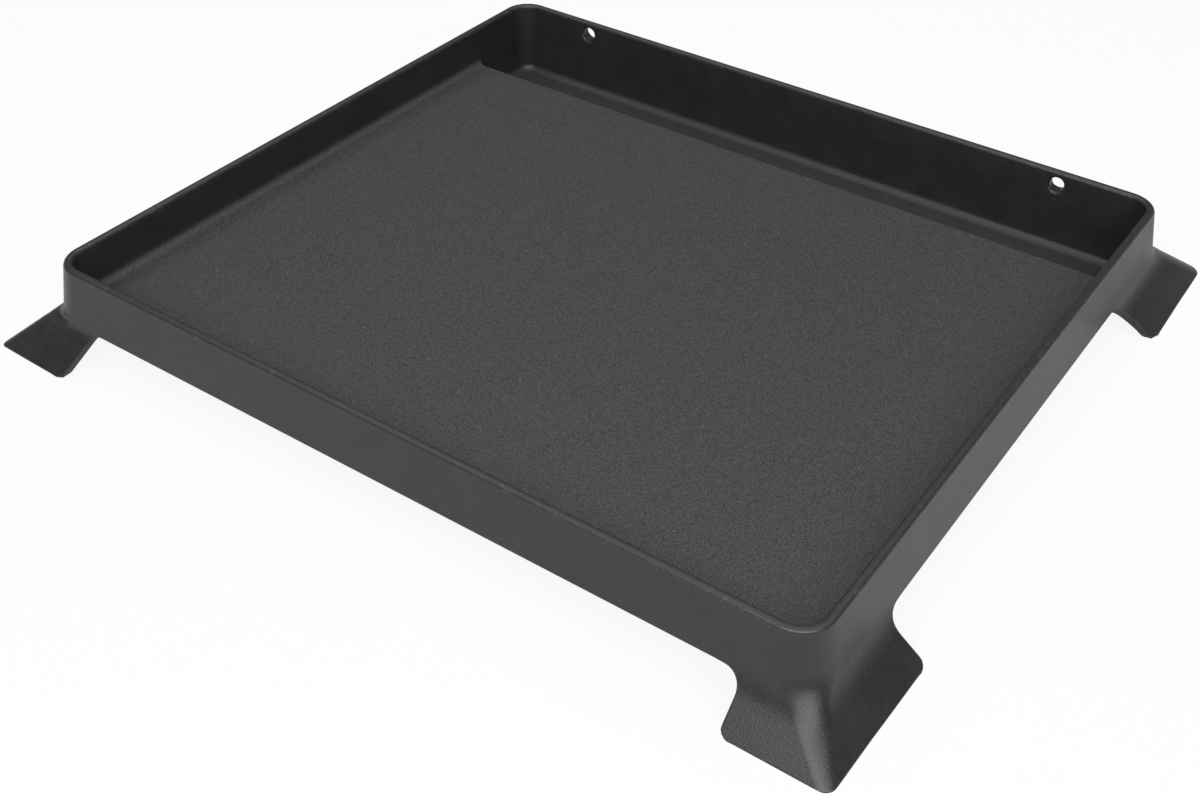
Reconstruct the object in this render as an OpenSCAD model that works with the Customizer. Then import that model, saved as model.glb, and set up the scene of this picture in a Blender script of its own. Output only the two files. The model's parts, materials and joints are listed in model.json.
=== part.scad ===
// Camp griddle plate: a cast pan with a flat cooking floor, a grease trough along
// the rear wall, two holes through the rear wall and four flared corner feet.
// Millimetres. +Z is up, +X is right along the front wall, +Y goes to the rear.
// The origin is on the surface the feet stand on, under the middle of their spread.
// The casting is divided into the sections a pattern maker would name. They meet
// face to face: the walls and corners stand on the plate, and the trough and the
// feet hang from its underside.

/* [Pan] */
// Width over the outside of the rim
rim_w = 360; // [240:1:560]
// Depth over the outside of the rim
rim_d = 324; // [200:1:480]
// Thickness of the rim at its top
rim_t = 3.6; // [3.2:0.1:6]
// Radius on the two edges of the rim
rim_round = 1.5; // [0.4:0.1:1.6]
// Height from the underside of the plate to the top of the rim
wall_h = 24; // [18:0.5:60]
// Thickness of the cooking plate
plate_t = 4.5; // [3:0.1:8]
// Slope of the outside of the walls, in degrees from upright
draft_out = 10.6; // [2:0.1:14]
// Slope of the inside of the walls, in degrees from upright
draft_in = 4.5; // [1:0.1:6]
// Outside radius of the pan's corners at the rim
corner_r = 13.5; // [12:0.5:40]
// Radius between the cooking floor and the walls
floor_fillet = 5; // [1:0.5:8]

/* [Grease trough] */
// Width of the trough at the level of the cooking floor
trough_w = 40.5; // [24:0.5:80]
// Clear height between the standing surface and the trough
trough_clear = 1; // [0.5:0.5:6]
// Thickness of the trough's sides and bottom
trough_t = 3.5; // [2.5:0.1:5]
// Radius between the trough's sides and its floor
trough_fillet = 6; // [2:0.5:8]
// Plan radius of the trough's two corners at the lip
lip_corner_r = 4; // [2:0.5:10]
// Slope of the trough's side below the lip, in degrees from upright
lip_draft = 8; // [1:0.5:20]

/* [Rear holes] */
// Diameter of the holes through the rear wall
hole_d = 7; // [4:0.1:9]
// Distance between the two holes
hole_spacing = 265; // [60:1:320]
// Distance from the top of the rim down to the hole centres
hole_drop = 6.5; // [6:0.1:12]

/* [Feet] */
// Height of the feet below the plate
foot_h = 17.5; // [12:0.5:40]
// Reach of the feet past the rim at the sides
foot_reach_side = 22; // [12:0.5:40]
// Reach of the front feet past the rim at the front
foot_reach_front = 20; // [12:0.5:40]
// Reach of the rear feet past the rim at the rear
foot_reach_rear = 24; // [12:0.5:40]
// Length of a foot along the front or rear wall, from the corner of the rim
foot_run_front = 21; // [18:0.5:60]
// Length of a foot along the side wall, from the corner of the rim
foot_run_side = 48; // [18:0.5:90]
// Thickness of a foot, measured level
foot_t = 5.2; // [3.5:0.1:6]
// Radius where a foot's side runs into the lower edge of the wall
foot_root_r = 6; // [1:0.5:7]
// Radius on the lower corners of a foot
foot_tip_r = 2; // [0.5:0.5:5]
// Plan radius of a foot's corner at the bottom
foot_corner_r = 5; // [2:0.5:16]

/* [Hidden] */

// Dark grey of the baked coating
charcoal = "#3c3e40";
// Straight pieces in a quarter turn
arc_steps = 8;
fillet_steps = 4;
// Least radius left on a corner that a fillet eats into
least_r = 0.4;
// A floor fillet stops this many degrees short of flat, so that its toe has a thickness
toe_angle = 12;
// How far a cutter stands proud of what it cuts
cut_over = 1;

half_w = rim_w / 2;
half_d = rim_d / 2;
z_plate = foot_h;
z_floor = z_plate + plate_t;
z_rim = z_plate + wall_h;
z_trough = trough_clear + trough_t;
// The pan's middle lies in front of the middle of the feet by half of what the rear feet reach further
y_pan = (foot_reach_front - foot_reach_rear) / 2;

// How far the outside and the inside of a wall lie from the rim's outer face at a height
function out_at(z) = (z_rim - z) * tan(draft_out);
function in_at(z) = rim_t + (z_rim - z) * tan(draft_in);

// The lip between the cooking floor and the trough
y_lip = half_d - in_at(z_floor) - trough_w;
function lip_at(z) = y_lip + (z_floor - z) * tan(lip_draft);

// The floor fillet has to fit inside the pan's rounded corner
fillet_r = min(floor_fillet, corner_r - in_at(z_floor) - least_r);

// Points on an arc about c, from angle a to angle b
function arc(c, r, a, b, n = arc_steps) =
    [for (i = [0 : n]) c + r * [cos(a + (b - a) * i / n), sin(a + (b - a) * i / n)]];

function reversed(list) = [for (i = [len(list) - 1 : -1 : 0]) list[i]];

// Level ring round a rectangle, anticlockwise, with its own radius at each end in Y
function level_ring(x, y0, y1, r0, r1, z) =
    let (ring = concat(arc([-x + r0, y0 + r0], r0, 180, 270),
                       arc([x - r0, y0 + r0], r0, 270, 360),
                       arc([x - r1, y1 - r1], r1, 0, 90),
                       arc([-x + r1, y1 - r1], r1, 90, 180)))
    [for (p = ring) [p.x, p.y, z]];

// Solid skinned over level rings, listed from the lowest to the highest
module loft(rings) {
    n = len(rings[0]);
    last = len(rings) - 1;
    points = [for (ring = rings) each ring];
    sides = [for (k = [0 : last - 1]) for (i = [0 : n - 1])
             let (j = (i + 1) % n)
             each [[k * n + i, (k + 1) * n + i, (k + 1) * n + j],
                   [k * n + i, (k + 1) * n + j, k * n + j]]];
    // Each cap is a row of four-sided strips across the ring, so an L-shaped ring caps as well
    strips = [for (i = [0 : n / 2 - 2]) [i, i + 1, n - 2 - i, n - 1 - i]];
    top = [for (strip = strips) [for (i = reversed(strip)) last * n + i]];
    polyhedron(points, concat(strips, sides, top), convexity = 6);
}

// Section of a wall above the plate: X runs inward from the rim's outer face, Y is the height
function wall_section(fillet) =
    let (z_round = z_rim - rim_round,
         outer_c = [rim_round / cos(draft_out) - rim_round * tan(draft_out), z_round],
         inner_c = [rim_t + rim_round * tan(draft_in) - rim_round / cos(draft_in), z_round],
         foot_c = [in_at(z_floor + fillet) + fillet / cos(draft_in), z_floor + fillet],
         toe_x = foot_c.x + fillet * cos(270 - toe_angle),
         foot = fillet > 0
             ? concat(arc(foot_c, fillet, 180 + draft_in, 270 - toe_angle), [[toe_x, z_floor]])
             : [[in_at(z_floor), z_floor]])
    concat([[-out_at(z_floor), z_floor]],
           arc(outer_c, rim_round, 180 - draft_out, 90),
           arc(inner_c, rim_round, 90, draft_in),
           foot);

// Straight wall along X whose outer rim face lies on the front side
module wall_along_x(fillet) {
    translate([corner_r - half_w, -half_d, 0])
        rotate([90, 0, 90])
            linear_extrude(rim_w - 2 * corner_r)
                polygon(wall_section(fillet));
}

// Straight wall along Y on the left side, from y0 to y1
module wall_along_y(fillet, y0, y1) {
    translate([-half_w, y1, 0])
        rotate([90, 0, 0])
            linear_extrude(y1 - y0)
                polygon(wall_section(fillet));
}

// Quarter turn of the wall at the rear right corner
module wall_turn(fillet) {
    translate([half_w - corner_r, half_d - corner_r, 0])
        rotate_extrude(angle = 90, $fn = 96)
            polygon([for (p = wall_section(fillet)) [corner_r - p.x, p.y]]);
}

// Side wall: plain where it goes down into the trough, filleted beside the cooking floor
module side_wall() {
    wall_along_y(0, corner_r - half_d, half_d - corner_r);
    wall_along_y(fillet_r, corner_r - half_d, y_lip);
}

// Ring of the trough's hollow at a height, grown by a wall and drawn in by a fillet
function trough_ring(z, grow, inset) =
    let (side = half_w - in_at(z) + grow - inset,
         front = lip_at(z) - grow + inset,
         rear = half_d - in_at(z) + grow - inset,
         front_r = max(lip_corner_r + grow - inset, least_r),
         rear_r = max(corner_r - in_at(z) + grow - inset, least_r))
    level_ring(side, front, rear, front_r, rear_r, z);

// Rings of a trough form with a rounded bottom edge, from its lowest level up to z_top
function trough_rings(z_low, z_top, grow, round_r) =
    concat([for (i = [fillet_steps : -1 : 0])
                let (a = 90 * i / fillet_steps)
                trough_ring(z_low + round_r * (1 - sin(a)), grow, round_r * (1 - cos(a)))],
           [trough_ring(z_top, grow, 0)]);

module trough_hollow() {
    loft(trough_rings(z_trough, z_floor + cut_over, 0, trough_fillet));
}

module trough_outside() {
    loft(trough_rings(trough_clear, z_plate, trough_t, trough_fillet + trough_t));
}

// One level of a foot with a reach in Y: h below the plate, its ends longer by the given amount
function foot_ring(reach_y, h, longer) =
    let (s = h / foot_h,
         root = out_at(z_plate),
         x = half_w + root + s * (foot_reach_side - root),
         y = half_d + root + s * (reach_y - root),
         r = corner_r + root + s * (foot_corner_r - corner_r - root),
         inner_r = max(r - foot_t, least_r),
         end_x = half_w - foot_run_front - longer,
         end_y = half_d - foot_run_side - longer,
         outer = concat([[end_x, y]], arc([x - r, y - r], r, 90, 0), [[x, end_y]]),
         inner_x = x - foot_t,
         inner_y = y - foot_t,
         inner = concat([[end_x, inner_y]],
                        arc([inner_x - inner_r, inner_y - inner_r], inner_r, 90, 0),
                        [[inner_x, end_y]]))
    [for (p = concat(inner, reversed(outer))) [p.x, p.y, z_plate - h]];

// Foot drawn at the rear right corner: flares out and down, with rounded roots and tips
module foot(reach_y) {
    tip = [for (i = [fillet_steps : -1 : 0])
           let (a = 90 * i / fillet_steps)
           foot_ring(reach_y, foot_h - foot_tip_r * (1 - sin(a)), -foot_tip_r * (1 - cos(a)))];
    root = [for (i = [0 : fillet_steps])
            let (a = 90 * i / fillet_steps)
            foot_ring(reach_y, foot_root_r * (1 - sin(a)), foot_root_r * (1 - cos(a)))];
    loft(concat(tip, root));
}

// Puts a section drawn about the middle of the pan in its place
module placed() {
    translate([0, y_pan, 0])
        children();
}

module cooking_plate() {
    color(charcoal)
        difference() {
            loft([for (z = [z_plate, z_floor])
                  let (o = out_at(z))
                  level_ring(half_w + o, -half_d - o, half_d + o, corner_r + o, corner_r + o, z)]);
            trough_hollow();
        }
}

module front_wall() {
    color(charcoal)
        wall_along_x(fillet_r);
}

module rear_wall() {
    hole_reach = in_at(z_floor) + out_at(z_floor) + 2 * cut_over;
    color(charcoal)
        difference() {
            mirror([0, 1, 0])
                wall_along_x(0);
            for (side = [-1, 1])
                translate([side * hole_spacing / 2, half_d + out_at(z_floor) + cut_over, z_rim - hole_drop])
                    rotate([90, 0, 0])
                        cylinder(d = hole_d, h = hole_reach, $fn = 48);
        }
}

module left_wall() {
    color(charcoal)
        side_wall();
}

module right_wall() {
    color(charcoal)
        mirror([1, 0, 0])
            side_wall();
}

module front_left_corner() {
    color(charcoal)
        mirror([1, 0, 0])
            mirror([0, 1, 0])
                wall_turn(fillet_r);
}

module front_right_corner() {
    color(charcoal)
        mirror([0, 1, 0])
            wall_turn(fillet_r);
}

module rear_left_corner() {
    color(charcoal)
        mirror([1, 0, 0])
            wall_turn(0);
}

module rear_right_corner() {
    color(charcoal)
        wall_turn(0);
}

module grease_trough() {
    color(charcoal)
        difference() {
            trough_outside();
            trough_hollow();
        }
}

module front_left_foot() {
    color(charcoal)
        mirror([1, 0, 0])
            mirror([0, 1, 0])
                foot(foot_reach_front);
}

module front_right_foot() {
    color(charcoal)
        mirror([0, 1, 0])
            foot(foot_reach_front);
}

module rear_left_foot() {
    color(charcoal)
        mirror([1, 0, 0])
            foot(foot_reach_rear);
}

module rear_right_foot() {
    color(charcoal)
        foot(foot_reach_rear);
}

placed() cooking_plate();
placed() front_wall();
placed() rear_wall();
placed() left_wall();
placed() right_wall();
placed() front_left_corner();
placed() front_right_corner();
placed() rear_left_corner();
placed() rear_right_corner();
placed() grease_trough();
placed() front_left_foot();
placed() front_right_foot();
placed() rear_left_foot();
placed() rear_right_foot();
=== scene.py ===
import json
import math

import bpy
import numpy as np
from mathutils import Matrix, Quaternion, Vector


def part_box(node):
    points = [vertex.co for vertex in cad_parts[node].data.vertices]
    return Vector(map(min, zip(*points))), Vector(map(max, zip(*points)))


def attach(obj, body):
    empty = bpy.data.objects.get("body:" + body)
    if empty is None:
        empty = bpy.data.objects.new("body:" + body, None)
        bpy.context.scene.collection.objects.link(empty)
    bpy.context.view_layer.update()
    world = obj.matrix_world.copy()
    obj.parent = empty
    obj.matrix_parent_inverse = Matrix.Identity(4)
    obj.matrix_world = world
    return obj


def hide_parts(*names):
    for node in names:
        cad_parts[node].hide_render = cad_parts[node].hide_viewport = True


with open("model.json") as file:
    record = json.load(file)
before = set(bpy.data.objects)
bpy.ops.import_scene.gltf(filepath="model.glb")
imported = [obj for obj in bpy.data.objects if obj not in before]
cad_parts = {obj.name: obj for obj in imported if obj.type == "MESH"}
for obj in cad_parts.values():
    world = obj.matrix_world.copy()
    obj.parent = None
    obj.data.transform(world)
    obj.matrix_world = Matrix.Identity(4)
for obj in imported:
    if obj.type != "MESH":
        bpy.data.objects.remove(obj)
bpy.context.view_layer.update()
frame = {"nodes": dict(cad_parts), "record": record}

# Walls and rim
# Four drafted walls and their rounded corners, cast in one with the plate in aluminium, with a flat,
# narrow rim whose edges are eased. All is measured from the pan's middle, which lies a little in front
# of the middle of the whole, because the rear feet reach out further.
mm = 0.001
rim_corner_r = 13.5 * mm
rim_t = 3.6 * mm
rim_round = 1.5 * mm
z_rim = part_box("front_wall")[1].z
side_low, side_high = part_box("right_wall")
pan_y = (side_low.y + side_high.y) / 2
half_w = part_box("front_wall")[1].x + rim_corner_r
half_d = (side_high.y - side_low.y) / 2 + rim_corner_r
slope_outside = math.tan(math.radians(10.6))
slope_inside = math.tan(math.radians(4.5))


def wall_outside(z):
    """How far the outside of a wall stands out past the rim: its slope times the drop from the rim."""
    return (z_rim - z) * slope_outside


def wall_inside(z):
    """How far the inside of a wall lies in from the rim's outer face: rim thickness plus its slope."""
    return rim_t + (z_rim - z) * slope_inside


def cut_round(a, b, r):
    """Distance to the space inside two forms: the larger of a and b, with the corner rounded to r."""
    both = np.hypot(np.maximum(r + a, 0), np.maximum(r + b, 0))
    return np.minimum(-r, np.maximum(a, b)) + both


def join_round(a, b, r):
    """Distance to two forms joined: the smaller of a and b, with a fillet of radius r between them."""
    return -cut_round(-a, -b, r)


def outline(x, y, half_x, half_y, r):
    """Distance in plan from a rectangle with round corners: negative inside it."""
    past_x = np.abs(x) - half_x + r
    past_y = np.abs(y) - half_y + r
    corner = np.hypot(np.maximum(past_x, 0), np.maximum(past_y, 0))
    return corner + np.minimum(np.maximum(past_x, past_y), 0) - r


def ease(t):
    """Smooth step from 0 to 1: three t squared less two t cubed."""
    t = np.clip(t, 0, 1)
    return t * t * (3 - 2 * t)


# Cooking floor and grease trough
# The flat floor of the pan, with a deep channel along the rear wall that catches
# the fat. The lip between them is crisp; every inner corner has a cast fillet.
z_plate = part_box("cooking_plate")[0].z
z_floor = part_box("cooking_plate")[1].z
floor_fillet = 3.8 * mm
trough_wall = 3.5 * mm
trough_fillet = 6 * mm
trough_corner = 4 * mm
lip_round = 1 * mm
lip_slope = math.tan(math.radians(8))
z_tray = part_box("grease_trough")[0].z
z_trough = z_tray + trough_wall
tray_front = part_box("grease_trough")[0].y - pan_y
y_lip = tray_front + trough_wall - (z_floor - z_plate) * lip_slope


def lip_face(z):
    """Where the trough's front side stands: at the lip, sloping to the rear on the way down."""
    return y_lip + (z_floor - z) * lip_slope


def inside_form(p):
    """Distance from the pan's inside: a block up to the rim, less the space within the walls and above
    the floor or the trough."""
    x, y, z = p[:, 0], p[:, 1], p[:, 2]
    walls = outline(x, y, half_w, half_d, rim_corner_r) + wall_inside(z)
    trough = cut_round(lip_face(z) - y, z_trough - z, trough_fillet)
    base = join_round(z_floor - z, trough, lip_round)
    return cut_round(z - z_rim, -cut_round(walls, base, floor_fillet), rim_round)


# Feet
# A flared skirt at each corner, left by cutting the mould away between them. It
# turns out of the wall just below the plate, fans out, and stands on its lower
# edge. The feet are dressed by hand, so no two of them are quite alike.
foot_edge_r = 0.7 * mm
foot_heel_r = 0.8 * mm
heel_fade = 4 * mm
foot_t = 5.2 * mm
foot_fillet = 3 * mm
foot_h = z_plate
root_hold = 0.3
flare_fade = 5 * mm
z_kink = z_plate - 2 * mm

# The feet go front left, front right, rear left, rear right. In each row the first value is for the
# facet along the front or rear wall, the second for the one along the side wall. A facet reaches past
# the rim's corner by the frame's reach less what it falls short, and its toe is what it gains along
# the wall. Rounding takes a little off every lower edge, which the edge loss makes good.
edge_loss = 0.4 * mm
foot_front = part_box("front_right_foot")[0].y
foot_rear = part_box("rear_right_foot")[1].y
foot_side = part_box("rear_right_foot")[1].x
reach_front = pan_y - half_d - foot_front
reach_rear = foot_rear - pan_y - half_d
reach_side = foot_side - half_w
foot_short = np.array([[0.6, -0.15], [1.25, 1.9], [0.1, 0.5], [0, 0.85]]) * mm
foot_reach = np.array([[reach_front, reach_side]] * 2 + [[reach_rear, reach_side]] * 2)
foot_reach = foot_reach + edge_loss - foot_short
foot_toe = np.array([[0.033, 0], [0, 0.02], [0, 0.01], [0, 0.017]])
foot_corner_r = np.array([2.8, 4.8, 5, 7]) * mm
corner_taper = np.array([0, 5.5, 2, 2]) * mm
corner_start = np.array([3, 9, 5, 5]) * mm
corner_blend = np.array([5, 10, 8, 8]) * mm
flare_blend = np.array([2.5, 5, 4, 4]) * mm

# Each facet ends at a run from the rim's corner, measured on the floor, with a lean, a rounded tip and
# a root fillet that grows towards the inside
end_run = np.array([[18.5, 46], [21.95, 49.2], [20, 46], [20, 46.5]]) * mm
end_lean = np.array([[0.41, 0.2], [0, -0.15], [0.25, 0.2], [0.25, 0.05]])
end_tip_r = np.array([[1.5, 2.2], [2.2, 2.2], [2.2, 2.2], [2.2, 2.2]]) * mm
end_root_r = np.array([[4, 8], [7, 7], [8, 8], [8, 14.5]]) * mm
end_root_grow = np.array([[0, 4], [0, 0], [4, 8], [4, 10]]) * mm


def foot_place(x, y):
    """Which foot's quarter a point is in, and how far it is from the rim's corner along both walls."""
    return 2 * (y > 0) + (x > 0), np.stack([half_w - np.abs(x), half_d - np.abs(y)], -1)


def foot_end(x, y, z):
    """Distance past the nearest end of the foot in that quarter, negative within the foot, and which
    end of which foot that is. The end's run grows with the height times its lean."""
    foot, along = foot_place(x, y)
    lean = end_lean[foot]
    past = (along - end_run[foot] - lean * z[:, None]) / np.hypot(1, lean)
    return past.max(-1), (foot, past.argmax(-1))


def outside_size(x, y, z):
    """Half width, half depth and corner radius of the outside at a height, and the cosine of its slope.
    At the kink the wall's slope turns into the foot's along a parabola that fades past the foot, and
    the corner draws in to the foot's radius, which tapers a little on the way down."""
    drop = z_kink - z
    past, end = foot_end(x, y, z)
    root_r = end_root_r[end]
    on_foot = 1 - ease((past - root_hold * root_r) / ((1 - root_hold) * root_r + flare_fade))
    foot, along = foot_place(x, y)
    soft = flare_blend[foot]
    flare = np.where(drop > soft, drop, np.maximum(drop + soft, 0) ** 2 / (4 * soft))
    reach = foot_reach[foot] + foot_toe[foot] * along
    front_slope, side_slope = ((reach - wall_outside(z_kink)) / z_kink).T
    half_x = half_w + wall_outside(z) + (side_slope - slope_outside) * flare * on_foot
    half_y = half_d + wall_outside(z) + (front_slope - slope_outside) * flare * on_foot
    turned = np.clip((drop + soft) / (2 * soft), 0, 1) * on_foot
    wall_r = rim_corner_r + wall_outside(z)
    foot_r = foot_corner_r[foot] + corner_taper[foot] * np.clip(1 - flare / z_kink, 0, 1)
    r = wall_r + (foot_r - wall_r) * ease((drop + corner_start[foot]) / corner_blend[foot]) * on_foot
    slope = slope_outside + ((side_slope + front_slope) / 2 - slope_outside) * turned
    return half_x, half_y, np.maximum(r, mm), 1 / np.hypot(1, slope)


def outside_form(p):
    """Distance from the casting's outside: the flared block cut off at the rim, below the plate between
    the feet and at the floor, hollowed inside the feet, and joined to the tray under the trough."""
    x, y, z = p[:, 0], p[:, 1], p[:, 2]
    drop = z_plate - z
    half_x, half_y, r, level = outside_size(x, y, z)
    past, end = foot_end(x, y, z)
    outer = outline(x, y, half_x, half_y, r) * level
    root_r = end_root_r[end] + end_root_grow[end] * np.clip(-outer / foot_t, 0, 1)
    body = cut_round(outer, z - z_rim, rim_round)
    skirt = join_round(drop, past, root_r)
    body = cut_round(body, cut_round(skirt, -z, end_tip_r[end]), foot_edge_r)
    inner_r = np.maximum(r - foot_t, foot_edge_r)
    inner = outline(x, y, half_x - foot_t, half_y - foot_t, inner_r) * level
    hollow = cut_round(inner, -drop, foot_fillet)
    body = cut_round(body, -hollow, foot_heel_r * np.clip(drop / heel_fade, 0, 1))
    walls = outline(x, y, half_w, half_d, rim_corner_r) + wall_inside(z) - trough_wall
    tray = cut_round(walls, lip_face(z) - trough_wall - y, trough_corner + trough_wall)
    tray = cut_round(tray, z_tray - z, trough_fillet + trough_wall)
    tray = np.maximum(tray, -drop - foot_edge_r)
    return join_round(body, tray, foot_fillet)


# Rear holes
# Two plain holes drilled through the rear wall just under the rim, with their
# edges broken by the coat. They take a wind shield or a hanging rail.
holes = frame["record"]["mounts"][0]
hole_r = holes["dims"]["hole_r_mm"] * mm
hole_x = holes["dims"]["spacing_x_mm"] * mm / 2
hole_z = holes["pos_m"][2]
hole_round = 0.8 * mm


def bored_form(p):
    """Distance from the whole casting near the holes: inside and outside forms, less the round bores."""
    bore = np.hypot(np.abs(p[:, 0]) - hole_x, p[:, 2] - hole_z) - hole_r
    return cut_round(np.maximum(inside_form(p), outside_form(p)), -bore, hole_round)


# Casting
# The whole plate is one piece from one mould, so its skin is one closed grid. A
# top sheet runs from the rim's middle down the inside, a bottom sheet covers the
# underside, and a belt joins their edges round the outside of walls and feet.
line_start = 14 * mm
rim_rows = np.array([1.8, 2.25, 2.7, 3.15, 3.6]) * mm
wall_rows = z_rim - np.array([0.4, 0.9, 1.5, 3.17, 4.83, 6.5, 8.17, 9.83, 11.5]) * mm
middle_rows = np.linspace(0, 1, 6)[1:]
fillet_start = 7 * mm
fillet_rows = np.array([5.6, 4.3, 3.2, 2.2, 1.3, 0.5]) * mm
floor_rows = np.array([0.3, 1, 1.9, 2.9, 4, 5.2, 6.6]) * mm
rings = len(rim_rows) + len(wall_rows) + len(middle_rows) + len(fillet_rows) + len(floor_rows)


def inside_rows(base):
    """Insets from the rim and heights of the rings on the inside, from the rim's middle to the floor,
    over a floor or trough of the given heights."""
    level = 0 * base
    fillet_top = base + fillet_start
    inset = [m + level for m in rim_rows]
    height = [z_rim + level for m in rim_rows]
    height += [z + level for z in wall_rows]
    height += [wall_rows[-1] + (fillet_top - wall_rows[-1]) * t for t in middle_rows]
    height += [base + z for z in fillet_rows]
    inset += [wall_inside(z) for z in height[len(rim_rows):]]
    inset += [wall_inside(base) + m for m in floor_rows]
    height += [base for m in floor_rows]
    return np.array(inset), np.array(height)


# Lines that cross the pan, given by their distance from the corner of the rim
foot_lines = np.linspace(line_start, 33 * mm, 25)
window_half = 6 * mm
window_lines = 7
hole_lines = half_w - hole_x + np.linspace(-window_half, window_half, window_lines)
plain_lines = np.array([60, 70, 85, 105, 130, 155]) * mm
across = np.concatenate([foot_lines, [36 * mm, 39.5 * mm], hole_lines, plain_lines])
x_lines = np.concatenate([across - half_w, [0], (half_w - across)[::-1]])

# Lines along the pan: from the front, then over the lip and down into the trough
front_lines = np.concatenate([np.linspace(14, 36, 8), np.linspace(38, 60, 26), [66, 80, 100, 130]])
front_lines = front_lines * mm - half_d
floor_lines = np.array([0, 40, 75, 95, 101, 105, 108,
                        110.4, 112.2, 113.6, 114.6, 115.3, 115.8, 116.15]) * mm
face_heights = np.array([21.95, 21.6, 20.9, 19.9, 18.4, 16.5, 14.5,
                         12.5, 11, 9.5, 8, 6.7, 5.6, 4.8]) * mm
trough_lines = np.array([119.3, 120.1, 121.1, 122.4, 124, 126.5, 131, 136.5, 142.5, 148]) * mm
y_base = np.concatenate([front_lines, floor_lines, lip_face(face_heights), trough_lines])
z_base = np.concatenate([0 * front_lines + z_floor, 0 * floor_lines + z_floor,
                         face_heights, 0 * trough_lines + z_trough])

# From a few lines before the lip to a few before the rear wall, they spread out evenly along the rim
# and along the path round the tray below
lines_before_lip, lines_at_rear = 3, 4
first, last = len(front_lines) + lines_before_lip, len(y_base) - lines_at_rear
lip_span = slice(first, last + 1)
lip_count = last + 1 - first
y_rim = y_base.copy()
y_rim[lip_span] = np.linspace(y_base[first], y_base[last], lip_count)
tray_path = np.array([[y_base[first], z_plate], [lip_face(z_plate) - trough_wall, z_plate],
                      [lip_face(z_tray) - trough_wall, z_tray], [y_base[last], z_tray]])
tray_along = np.append(0, np.cumsum(np.hypot(*np.diff(tray_path, axis=0).T)))
tray_steps = np.linspace(0, tray_along[-1], lip_count)
y_under = y_base.copy()
y_under[lip_span] = np.interp(tray_steps, tray_along, tray_path[:, 0])
z_under = np.where(np.arange(len(y_base)) < first, z_plate, z_tray)
z_under[lip_span] = np.interp(tray_steps, tray_along, tray_path[:, 1])


def with_rings(lines, at_front, at_rear):
    """Values on the lines, with those of the rings along the front and the rear walls added."""
    return np.concatenate([np.full(rings, at_front), lines, np.full(rings, at_rear)])


least_r = 0.4 * mm
arc_crowding = 0.35


def ring_point(on_front, turn, along, out_x, out_y, r):
    """Point in the first quarter of a ring that stands out from the rim: on its straight stretch where
    turn is 0, and further round the corner up to its middle, where turn is 1. The arc takes more than
    its share of the turn where it is short, so that a sharp corner still has points."""
    start_x, start_y = half_w - line_start, half_d - line_start
    centre_x, centre_y = half_w + out_x - r, half_d + out_y - r
    straight = np.where(on_front, centre_x - start_x, centre_y - start_y)
    eighth = r * math.pi / 4
    share = (eighth / (eighth + straight)) ** arc_crowding
    run = straight * np.clip(turn / (1 - share), 0, 1)
    angle = np.clip((turn - 1 + share) / share, 0, 1) * math.pi / 4
    angle = np.where(on_front, math.pi / 2 - angle, angle)
    x = np.where(on_front, np.where(turn > 0, start_x + run, along), half_w + out_x)
    y = np.where(on_front, half_d + out_y, np.where(turn > 0, start_y + run, along))
    on_arc = turn > 1 - share
    x = np.where(on_arc, centre_x + r * np.cos(angle), x)
    y = np.where(on_arc, centre_y + r * np.sin(angle), y)
    return x, y


# Each point of a sheet lies on a ring round the walls or, past the last ring, where two lines cross
count_x, count_y = len(x_lines) + 2 * rings, len(y_base) + 2 * rings
i, j = np.meshgrid(np.arange(count_x), np.arange(count_y), indexing="ij")
from_side = np.minimum(i, count_x - 1 - i)
from_front = np.minimum(j, count_y - 1 - j)
ring = np.minimum(from_side, from_front)
on_front = from_front <= from_side
along_ring = np.where(on_front, from_side, from_front)
turn = np.where(along_ring < rings, (rings - along_ring) / np.maximum(rings - ring, 1), 0)
sign_x = np.where(i < count_x / 2, -1, 1)
sign_y = np.where(j < count_y / 2, -1, 1)
in_walls = ring < rings
level_side = ~on_front & (turn == 0)
row = np.minimum(ring, rings - 1)
line_x = with_rings(x_lines, 0, 0)[i]
rim_y = with_rings(y_rim, 0, 0)[j]
base_y = with_rings(y_base, 0, 0)[j]
under_y = with_rings(y_under, 0, 0)[j]
line_base = with_rings(z_base, z_floor, z_trough)[j]
line_under = with_rings(z_under, z_plate, z_tray)[j]
ring_base = np.where(on_front, np.where(sign_y < 0, z_floor, z_trough), line_base)
ring_under = np.where(on_front, np.where(sign_y < 0, z_plate, z_tray), line_under)


def sheet(inset, height, side_y, middle_y, middle_z):
    """Grid of points: rings at an inset from the rim and a height, and the crossed lines within them."""
    r = np.maximum(rim_corner_r - inset, least_r)
    along = np.where(on_front, np.abs(line_x), np.abs(side_y))
    x, y = ring_point(on_front, turn, along, -inset, -inset, r)
    y = np.where(level_side, side_y, sign_y * y)
    return np.stack([np.where(in_walls, sign_x * x, line_x),
                     np.where(in_walls, y, middle_y),
                     np.where(in_walls, height, middle_z)], -1)


inset_rows, height_rows = inside_rows(ring_base)
inset = np.take_along_axis(inset_rows, row[None], 0)[0]
height = np.take_along_axis(height_rows, row[None], 0)[0]
down = ease((row - len(rim_rows)) / (rings - len(rim_rows) - len(floor_rows)))
top_sheet = sheet(inset, height, rim_y + (base_y - rim_y) * down, base_y, line_base)
under_inset = 3.5 * mm
line_gap = 0.6 * mm
inset = under_inset + (line_start - line_gap - under_inset) * row / (rings - 1)
bottom_sheet = sheet(inset, ring_under, under_y, under_y, line_under)


def edge_loop(grid):
    """Values along the four edges of a grid, once round."""
    return np.concatenate([grid[:-1, 0], grid[-1, :-1], grid[:0:-1, -1], grid[0, :0:-1]])


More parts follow.
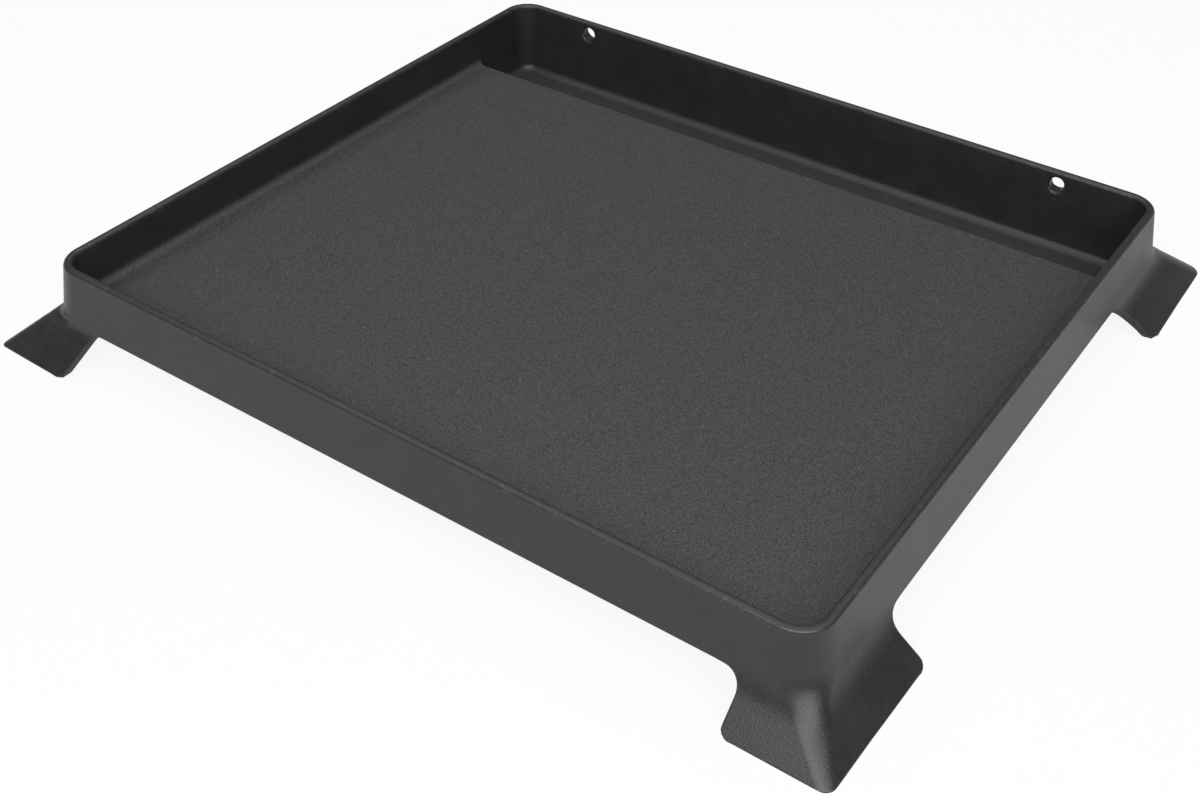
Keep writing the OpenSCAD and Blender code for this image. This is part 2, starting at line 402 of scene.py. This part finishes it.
# Belt columns: where each starts on the rim and where it meets the lower edge of the wall or foot
column_front = edge_loop(on_front)
column_turn = edge_loop(turn)
column_sign = np.stack([edge_loop(sign_x), edge_loop(sign_y)])
column_tray = z_plate - edge_loop(ring_under)
column_half = np.where(column_front, half_w, half_d)
at_rim = column_half - np.where(column_front, np.abs(edge_loop(line_x)), np.abs(edge_loop(rim_y)))
at_rim = np.where(column_turn > 0, 0, at_rim)
at_under = np.where(column_front, np.abs(edge_loop(line_x)), np.abs(edge_loop(under_y)))
column_foot = 2 * (column_sign[1] > 0) + (column_sign[0] > 0)
arc_count = 13
quarter = np.linspace(0, math.pi / 2, arc_count)
arc_knots = [0, 1, 2, 1 + arc_count, 2 + arc_count, 1 + 2 * arc_count, 2 + 2 * arc_count]
far, near = 45 * mm, 8 * mm
fan = 11 * mm
root_start = 5 * mm
rim_at = column_half - at_rim
low_drop = np.where(at_rim < end_run[column_foot, 1 - column_front], foot_h, 0)
low_at = rim_at.copy()
root_at = rim_at.copy()
for foot in range(4):
    for end in range(2):
        # The lower edge runs along the wall, round the root, down the end, round the tip and along
        # the floor. The heel is the line above it, where the foot's inside meets the plate.
        run, lean = end_run[foot, end], end_lean[foot, end]
        r, tip_r = end_root_r[foot, end], end_tip_r[foot, end]
        past = np.concatenate([[far, r + root_start], r * (1 - np.sin(quarter)),
                               tip_r * (np.cos(quarter) - 1), [-near]])
        edge_drop = np.concatenate([[0, 0], r * (1 - np.cos(quarter)),
                                    foot_h - tip_r * (1 - np.sin(quarter)), [foot_h]])
        edge_at = run + lean * (z_plate - edge_drop) + past
        length = np.append(0, np.cumsum(np.hypot(np.diff(edge_at), np.diff(edge_drop))))
        knots = length[arc_knots]
        heel_past = np.array([far, r + root_start, r, -0.5 * mm, -5 * mm, -7 * mm, -near])
        heel_lean = lean * z_plate * np.array([1, 1, 1, 1, 0.6, 0.2, 0])
        spread = [run - near, run + fan, edge_at[0]]
        here = (column_foot == foot) & (column_front == (end == 0))
        here &= (at_rim > spread[0]) & (at_rim < spread[2])
        place = np.interp(at_rim[here], spread, length[[-1, 1, 0]])
        low_drop[here] = np.interp(place, length, edge_drop)
        low_at[here] = column_half[here] - np.interp(place, length, edge_at)
        root_at[here] = column_half[here] - np.interp(place, knots, run + heel_lean + heel_past)


def belt_ring(along, out_x, out_y, r, z):
    """Row of the belt at the given places along the walls, standing out from the rim, at heights z."""
    x, y = ring_point(column_front, column_turn, along, out_x, out_y, np.maximum(r, least_r))
    return np.stack([column_sign[0] * x, column_sign[1] * y, z + 0 * x], -1)


def outer_row(along, z, inset):
    """Row of the belt on the outside of the wall or foot at heights z, or inset from it."""
    x = column_sign[0] * np.where(column_front & (column_turn == 0), along, half_w)
    y = column_sign[1] * np.where(column_front | (column_turn > 0), half_d, along)
    half_x, half_y, r, _ = outside_size(x, y, z)
    return belt_ring(along, half_x - half_w - inset, half_y - half_d - inset, r - inset, z)


# Belt rows: out over the rim, down the wall and the skirt, in under the lower edge, then up the inside
# of the foot and along the plate, or down the tray at the rear
outer_rim_rows = rim_rows[0] * np.array([0.75, 0.5, 0.25, 0])
lower_rows = np.array([28, 26, 24, 22.5]) * mm
skirt_top = -4 * mm
skirt_rows = (0, 0.08, 0.17, 0.27, 0.37, 0.47, 0.57, 0.66, 0.75, 0.83, 0.89, 0.94, 0.975, 1)
edge_rows = np.array([0.35, 0.8, 1.5, 2.4, 3.4, 4.2, 4.7, 5.2]) * mm
belt = [outer_row(rim_at, z_rim + 0 * rim_at, m) for m in outer_rim_rows]
belt += [outer_row(rim_at, z + 0 * rim_at, 0) for z in np.concatenate([wall_rows, lower_rows])]
for t in skirt_rows:
    drop = skirt_top + (low_drop - skirt_top) * t
    belt.append(outer_row(rim_at + (low_at - rim_at) * ease(t), z_plate - drop, 0))
for m in edge_rows:
    belt.append(outer_row(low_at, z_plate - low_drop, m))
heel_inset = foot_t - wall_outside(z_plate)
tray_inset = wall_inside(z_plate) - trough_wall
level_run = tray_inset - heel_inset
tray_run = np.hypot(column_tray, under_inset - tray_inset)
inner_count = 24
for n in range(1, inner_count):
    gone = (low_drop + level_run + tray_run) * n / inner_count
    rise = np.minimum(gone, low_drop)
    flat = np.clip(gone - low_drop, 0, level_run)
    fall = np.clip(gone - low_drop - level_run, 0, tray_run) / tray_run
    up = rise / np.maximum(low_drop, mm)
    inward = np.clip((gone - low_drop) / (level_run + tray_run), 0, 1)
    heel = outer_row(low_at + (root_at - low_at) * up, z_plate - low_drop + rise, foot_t)
    m = heel_inset + flat + fall * (under_inset - tray_inset)
    under_at = root_at + (at_under - root_at) * inward
    under = belt_ring(under_at, -m, -m, rim_corner_r - m, z_plate - fall * column_tray)
    belt.append(np.where((gone < low_drop)[:, None], heel, under))
belt = np.array(belt)

# Number the points, and take a square window out of both sides of the rear wall for each hole
sheet_size = count_x * count_y
top_ids = np.arange(sheet_size).reshape(count_x, count_y)
belt_ids = sheet_size + np.arange(belt.shape[0] * belt.shape[1]).reshape(belt.shape[:2])
bottom_ids = top_ids + sheet_size + belt_ids.size
belt_ids = np.concatenate([edge_loop(top_ids)[None], belt_ids, edge_loop(bottom_ids)[None]])
belt_ids = np.concatenate([belt_ids, belt_ids[:, :1]], 1)


def quads(ids):
    """Four-sided faces between the neighbours in a grid of point numbers."""
    return np.stack([ids[:-1, :-1], ids[1:, :-1], ids[1:, 1:], ids[:-1, 1:]], -1)


top_quads = quads(top_ids)
belt_quads = quads(belt_ids)
bottom_quads = quads(bottom_ids)[..., ::-1]
keep_top = np.ones(top_quads.shape[:2], bool)
keep_belt = np.ones(belt_quads.shape[:2], bool)
window_start = len(rim_rows) + 2
window_rows = window_start + np.arange(window_lines)
window_slack = 0.1 * mm

# Rings of a bore: radius as a share of the hole's, and how far through the wall
bore_rings = ((1.175, 0), (1.0875, 0), (1.025, 0.05), (1, 0.25), (1, 0.5), (1, 0.75),
              (1.025, 0.95), (1.0875, 1), (1.175, 1))
bore_points, bore_quads = [], []
next_id = bottom_ids[-1, -1] + 1
for side in (-1, 1):
    from_hole = np.abs(np.append(np.full(rings, np.inf), x_lines) - side * hole_x)
    columns = np.flatnonzero(from_hole < window_half + window_slack)
    belt_columns = 2 * (count_x - 1) + count_y - 1 - columns
    sheet_rows = count_y - 1 - window_rows
    keep_top[columns[0]:columns[-1], sheet_rows[-1]:sheet_rows[0]] = False
    keep_belt[window_rows[0]:window_rows[-1], belt_columns[-1]:belt_columns[0]] = False
    inner_loop = edge_loop(top_ids[np.ix_(columns, sheet_rows)])
    outer_loop = edge_loop(belt_ids[np.ix_(window_rows, belt_columns)].T)
    corner = top_sheet.reshape(-1, 3)[inner_loop]
    angle = np.arctan2(corner[:, 2] - hole_z, corner[:, 0] - side * hole_x)
    tube = [inner_loop]
    for r, through in bore_rings:
        x = side * hole_x + r * hole_r * np.cos(angle)
        z = hole_z + r * hole_r * np.sin(angle)
        y = half_d - wall_inside(z) + (wall_inside(z) + wall_outside(z)) * through
        bore_points.append(np.stack([x, y, z], -1))
        tube.append(next_id + np.arange(len(angle)))
        next_id += len(angle)
    tube = np.array(tube + [outer_loop])
    bore_quads.append(quads(np.concatenate([tube, tube[:, :1]], 1)).reshape(-1, 4))
bore_points = np.concatenate(bore_points)


# Every point is moved onto its form, then eased towards its neighbours and moved back a few times
slope_step = 0.01 * mm
bend_step = 0.2 * mm
settle_pace = 0.9
least_slope = 0.2
ease_rounds = 14
ease_pace = 0.5


def steepest(form, p):
    """Direction in which the distance from a form grows fastest, from small steps to either side."""
    return np.stack([(form(p + d) - form(p - d)) / (2 * slope_step) for d in np.eye(3) * slope_step], -1)


def settle(form, p, rounds):
    """Points moved onto a form: each round steps by the distance left, along the steepest direction."""
    for _ in range(rounds):
        g = steepest(form, p)
        p = p - settle_pace * (form(p) / np.maximum((g * g).sum(-1), least_slope))[:, None] * g
    return p


def bend(form, p):
    """Sum of the two bends of a form, positive on an outer edge: how much more the distance from it
    grows on both sides of a point than at the point, for small steps along the three axes."""
    around = sum(form(p + d) + form(p - d) for d in np.eye(3) * bend_step)
    return (around - 6 * form(p)) / bend_step ** 2


parts = [(inside_form, top_sheet.reshape(-1, 3)),
         (outside_form, np.concatenate([belt.reshape(-1, 3), bottom_sheet.reshape(-1, 3)])),
         (bored_form, bore_points)]
forms = [form for form, p in parts]
cuts = np.cumsum([len(p) for form, p in parts])[:-1]
faces = [top_quads[keep_top], belt_quads[keep_belt], bottom_quads.reshape(-1, 4)] + bore_quads
faces = np.concatenate(faces)
edges = np.concatenate([faces[:, [0, 1]], faces[:, [1, 2]], faces[:, [2, 3]], faces[:, [3, 0]]])
points = np.concatenate([settle(form, p, 8) for form, p in parts])
used = np.unique(faces)
from_id, to_id = edges.T
neighbours = np.maximum(np.bincount(from_id, minlength=len(points)), 1)
for _ in range(ease_rounds):
    total = np.stack([np.bincount(from_id, points[to_id, axis], len(points)) for axis in range(3)], -1)
    eased = points + ease_pace * (total / neighbours[:, None] - points) * (total != 0)
    points = np.concatenate([settle(form, p, 2) for form, p in zip(forms, np.split(eased, cuts))])
points = np.concatenate([settle(form, p, 4) for form, p in zip(forms, np.split(points, cuts))])
normals = np.concatenate([steepest(form, p) for form, p in zip(forms, np.split(points, cuts))])
bends = np.concatenate([bend(form, p) for form, p in zip(forms, np.split(points, cuts))])
renumber = np.zeros(len(points), int)
renumber[used] = np.arange(len(used))
points, normals, bends, faces = points[used], normals[used], bends[used], renumber[faces]
normals /= np.linalg.norm(normals, axis=1)[:, None]
points[:, 1] += pan_y

casting_mesh = bpy.data.meshes.new("griddle_casting")
casting_mesh.from_pydata(points, [], faces)
casting_mesh.shade_smooth()
casting_mesh.normals_split_custom_set_from_vertices(normals)
casting = bpy.data.objects.new("griddle_casting", casting_mesh)
bpy.context.scene.collection.objects.link(casting)


# The coat thins on outer edges, and lies rougher and paler on the floor and in the trough, up into their
# fillets, while painted shade takes the paler colour back towards the trough's bottom: one value each per
# point
wear_r = 1.6 * mm
skin = 0.1 * mm
level_start, level_span = 0.2, 0.7
# Painted shade: below the floor the cooking face's paler colour fades out over a few millimetres,
# darkening the trough towards its bottom
trough_painted_shade = 0.6
trough_painted_shade_depth = 3 * mm
edge_wear = ease(bends * wear_r)
below_rim = inside_form(points - [0, pan_y, 0]) > -skin
below_rim &= points[:, 2] < z_rim - 2 * rim_round
rough_inside = ease((normals[:, 2] - level_start) / level_span) * below_rim
cooking_face_and_trough_shade = rough_inside * (1 - trough_painted_shade * ease((z_floor - points[:, 2]) / trough_painted_shade_depth))
coat_values = {"edge_wear": edge_wear, "rough_inside": rough_inside, "cooking_face_and_trough_shade": cooking_face_and_trough_shade}
for name, values in coat_values.items():
    attribute = casting_mesh.attributes.new(name, "FLOAT", "POINT")
    attribute.data.foreach_set("value", values.astype(np.float32))


class Wire:
    """A shader socket that can stand in a formula: each operator adds a Math node to its material."""

    def __init__(self, tree, socket=None):
        self.tree = tree
        self.socket = socket

    def node(self, kind, settings, values, output=0):
        """Output of a new node of a kind, with its settings made and its inputs given values or links."""
        made = self.tree.nodes.new(kind)
        for name, setting in settings.items():
            setattr(made, name, setting)
        for name, value in values.items():
            if isinstance(value, Wire):
                self.tree.links.new(value.socket, made.inputs[name])
            else:
                made.inputs[name].default_value = value
        return Wire(self.tree, made.outputs[output])

    def math(self, operation, a, b):
        """Result of a Math node's operation on two numbers or wires."""
        return self.node("ShaderNodeMath", {"operation": operation}, {0: a, 1: b})

    def __add__(self, other):
        return self.math("ADD", self, other)

    def __sub__(self, other):
        return self.math("SUBTRACT", self, other)

    def __rsub__(self, other):
        return self.math("SUBTRACT", other, self)

    def __mul__(self, other):
        return self.math("MULTIPLY", self, other)

    def __gt__(self, other):
        return self.math("GREATER_THAN", self, other)

    __radd__ = __add__
    __rmul__ = __mul__

    def fade(self, low, high):
        """Smooth step from 0 to 1 while the value goes from low to high."""
        span = {"Value": self, "From Min": low, "From Max": high}
        return self.node("ShaderNodeMapRange", {"interpolation_type": "SMOOTHSTEP"}, span)

    def blend(self, a, b):
        """Colour a where the value is 0, and b where it is 1."""
        return self.node("ShaderNodeMix", {"data_type": "RGBA"}, {0: self, 6: a, 7: b}, 2)


# Baked charcoal coat: a fine grain with pale flecks, densest on the cooking face, soft clouds on the
# walls, and small nicks along the edges where the metal starts to show
coat_dark = (0.0165, 0.0168, 0.018, 1)
coat_pale = (0.0195, 0.0198, 0.0212, 1)
cooking_dark = (0.018, 0.0183, 0.0192, 1)
cooking_pale = (0.059, 0.0596, 0.062, 1)
fleck_colour = (0.2, 0.202, 0.21, 1)
worn_colour = (0.075, 0.075, 0.077, 1)
grain_size = 0.56 * mm
cloud_size = 14 * mm
fleck_gap = 0.9 * mm
dot_gap = 8 * mm
nick_size = 3 * mm
fleck_share = 0.45
dot_share = 0.25
fleck_strength, fleck_on_cooking = 0.06, 0.05
dot_strength, dot_on_cooking = 0.1, 0.5
nick_strength = 0.4
plain_wear = 0.35
wall_roughness = 0.37
inside_roughness = 0.21
grain_roughness = 0.2
cloud_roughness = 0.03
wear_polish = 0.03
fleck_height = 0.5
bump_strength = 0.6
bump_depth = 0.1 * mm
coat = bpy.data.materials.new("charcoal_coat")
coat.use_nodes = True
tree = Wire(coat.node_tree)
place = tree.node("ShaderNodeTexCoord", {}, {}, "Object")
cooking_and_trough_shade = tree.node("ShaderNodeAttribute", {"attribute_name": "cooking_face_and_trough_shade"}, {}, "Fac")
inside = tree.node("ShaderNodeAttribute", {"attribute_name": "rough_inside"}, {}, "Fac")
wear = tree.node("ShaderNodeAttribute", {"attribute_name": "edge_wear"}, {}, "Fac")


def noise(size, detail):
    """Soft random pattern about 0.5, with lumps of a size."""
    lumps = {"Vector": place, "Scale": 1 / size, "Detail": detail}
    return tree.node("ShaderNodeTexNoise", {}, lumps, "Fac")


def flecks(gap, share, low, high):
    """Round flecks in a share of the cells of a size, fading out from low to high off their middles."""
    cell = {"Vector": place, "Scale": 1 / gap}
    middle = tree.node("ShaderNodeTexVoronoi", {}, cell, "Distance")
    position = tree.node("ShaderNodeTexVoronoi", {}, cell, "Position")
    chance = tree.node("ShaderNodeTexWhiteNoise", {}, {"Vector": position})
    return (1 - middle.fade(low, high)) * (1 - (chance > share))


grain = noise(grain_size, 3)
cloud = noise(cloud_size, 2).fade(0.35, 0.65)
fine_flecks = flecks(fleck_gap, fleck_share, 0.1, 0.45)
bright_dots = flecks(dot_gap, dot_share, 0.02, 0.07)
nicks = wear * (plain_wear + (1 - plain_wear) * noise(nick_size, 4).fade(0.56, 0.68))
colour = cloud.blend(coat_dark, coat_pale)
# The paler grainy cooking colour and its flecks, taken back by painted shade towards the trough's bottom
colour = cooking_and_trough_shade.blend(colour, grain.fade(0.35, 0.65).blend(cooking_dark, cooking_pale))
colour = (fine_flecks * (fleck_strength + fleck_on_cooking * cooking_and_trough_shade)).blend(colour, fleck_colour)
colour = (bright_dots * (dot_strength + dot_on_cooking * cooking_and_trough_shade)).blend(colour, fleck_colour)
colour = (nick_strength * nicks).blend(colour, worn_colour)
roughness = wall_roughness + inside_roughness * inside + grain_roughness * (grain - 0.5)
roughness = roughness + cloud_roughness * (cloud - 0.5) - wear_polish * wear
relief = {"Strength": bump_strength, "Distance": bump_depth, "Height": grain + fleck_height * fine_flecks}
bump = tree.node("ShaderNodeBump", {}, relief)
coat_shader = coat.node_tree.nodes["Principled BSDF"]
for name, wire in {"Base Color": colour, "Roughness": roughness, "Normal": bump}.items():
    tree.tree.links.new(wire.socket, coat_shader.inputs[name])
casting_mesh.materials.append(coat)
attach(casting, "root")
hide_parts(*frame["nodes"])

# Floor
# A plain white studio sweep under and behind the plate.
floor_size = 8
paper_colour = (0.75, 0.75, 0.75, 1)
paper_roughness = 0.9
straight_white, mirrored_white = 0.9, 0.1
floor_mesh = bpy.data.meshes.new("studio_floor")
corners = np.array([[-1, -1, 0], [1, -1, 0], [1, 1, 0], [-1, 1, 0]]) * floor_size / 2
floor_mesh.from_pydata(corners, [], [(0, 1, 2, 3)])
floor = bpy.data.objects.new("studio_floor", floor_mesh)
bpy.context.scene.collection.objects.link(floor)
paper = bpy.data.materials.new("white_paper")
paper.use_nodes = True
paper_tree = Wire(paper.node_tree)
paper_shader = paper.node_tree.nodes["Principled BSDF"]
paper_shader.inputs["Base Color"].default_value = paper_colour
paper_shader.inputs["Roughness"].default_value = paper_roughness


def seen(wires):
    """1 for what the camera sees straight, and 1 for what it sees mirrored or through glass."""
    kinds = ("Is Camera Ray", "Is Glossy Ray", "Is Transmission Ray")
    rays = [wires.node("ShaderNodeLightPath", {}, {}, kind) for kind in kinds]
    return rays[0], wires.math("MAXIMUM", rays[1], rays[2])


straight, mirrored = seen(paper_tree)
white = paper_tree.node("ShaderNodeEmission", {}, {"Color": (1, 1, 1, 1), "Strength": 1})
lit = Wire(paper.node_tree, paper_shader.outputs[0])
whitened = straight_white * straight + mirrored_white * mirrored
paper_surface = paper_tree.node("ShaderNodeMixShader", {}, {0: whitened, 1: lit, 2: white})
paper_output = paper.node_tree.nodes["Material Output"]
paper.node_tree.links.new(paper_surface.socket, paper_output.inputs["Surface"])
floor_mesh.materials.append(paper)

# Light
# A dim room with a white backdrop up to a little above the horizon, a broad soft
# box overhead and a low, wide one behind the camera.
room_dim = 0.11
backdrop_top = 0.06
world = bpy.data.worlds.new("studio")
bpy.context.scene.world = world
world.use_nodes = True
room = Wire(world.node_tree)
straight, mirrored = seen(room)
direction = room.node("ShaderNodeTexCoord", {}, {}, "Generated")
upward = room.node("ShaderNodeSeparateXYZ", {}, {"Vector": direction}, "Z")
backdrop = straight + (1 - upward.fade(0, backdrop_top)) * mirrored
room_strength = room_dim + (1 - room_dim) * backdrop
background = world.node_tree.nodes["Background"]
background.inputs["Color"].default_value = (1, 1, 1, 1)
world.node_tree.links.new(room_strength.socket, background.inputs["Strength"])


def soft_box(name, direction, distance, width, height, power):
    """Area lamp at a distance in a direction from the plate, turned to face it."""
    lamp = bpy.data.lights.new(name, "AREA")
    lamp.shape = "RECTANGLE"
    lamp.size, lamp.size_y = width, height
    lamp.energy = power
    box = bpy.data.objects.new(name, lamp)
    toward = Vector(direction).normalized()
    box.location = toward * distance
    box.rotation_mode = "QUATERNION"
    box.rotation_quaternion = toward.to_track_quat("Z", "Y")
    bpy.context.scene.collection.objects.link(box)


soft_box("overhead_box", (-0.05, 0, 1), distance=1.5, width=2.6, height=2.6, power=24)
soft_box("front_box", (0.38, -0.6, 0.61), distance=1.47, width=2.2, height=0.55, power=20)

# Camera
# Stands at the photograph's view: to the right of the front, looking down.
view_azimuth = math.radians(34.201)
view_elevation = math.radians(38.842)
view_roll = math.radians(1.119)
view_target = Vector((27.15 * mm, pan_y - 59.13 * mm, 0))
view_distance = 623 * mm
view_lens = 45.018
film_width = 36
near_clip = 0.01
back = Vector((math.sin(view_azimuth) * math.cos(view_elevation),
               -math.cos(view_azimuth) * math.cos(view_elevation),
               math.sin(view_elevation)))
camera_data = bpy.data.cameras.new("camera")
camera_data.sensor_width = film_width
camera_data.lens = view_lens
camera_data.clip_start = near_clip
camera = bpy.data.objects.new("camera", camera_data)
camera.rotation_mode = "QUATERNION"
camera.location = view_target + back * view_distance
camera.rotation_quaternion = (-back).to_track_quat("-Z", "Y") @ Quaternion((0, 0, 1), view_roll)
bpy.context.scene.collection.objects.link(camera)
bpy.context.scene.camera = camera
bpy.context.scene.view_settings.view_transform = "Standard"
